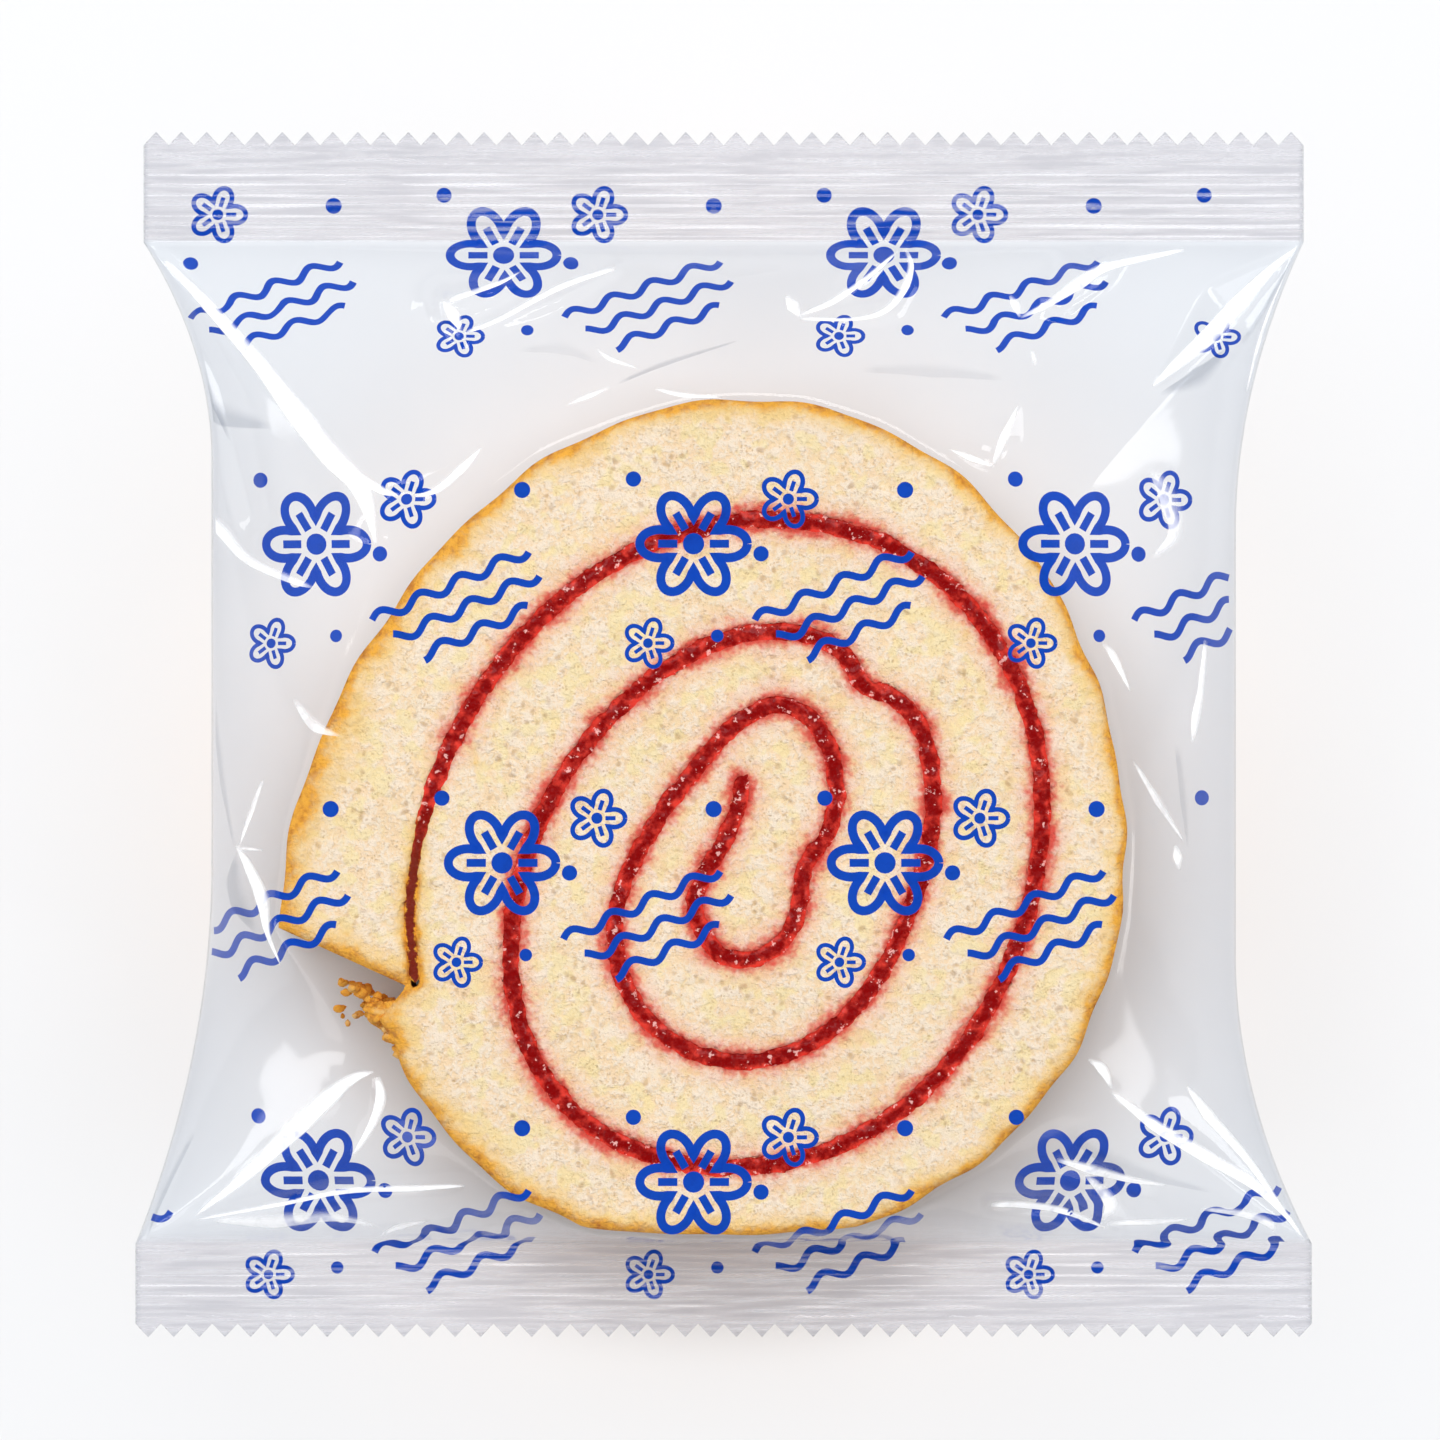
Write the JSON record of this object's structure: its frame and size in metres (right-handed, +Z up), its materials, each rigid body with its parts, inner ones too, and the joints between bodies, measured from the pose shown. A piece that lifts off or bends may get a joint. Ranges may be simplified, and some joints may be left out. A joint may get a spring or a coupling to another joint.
{
  "type": "swiss roll cake",
  "caption": "Slice of swiss roll: pale sponge rolled round red jam, lying cut face up in a clear pillow bag with a crimped, zigzag-cut seal at each end.",
  "frame": {"origin": "under the middle of the bag, on the surface that it lies on", "axes": "+Z up out of the shown cut face, +Y along the bag to its top seal, +X across the bag"},
  "size_m": [0.13, 0.1332, 0.026],
  "materials": {
    "sponge": "soft porous cream-yellow crumb with a thin golden-brown baked skin",
    "jam": "glossy dark red fruit jam, brighter red where it has soaked into the crumb",
    "film": null
  },
  "bodies": {
    "root": {"sponge": "sponge", "jam": "jam", "bag": "film"}
  },
  "joints": []
}
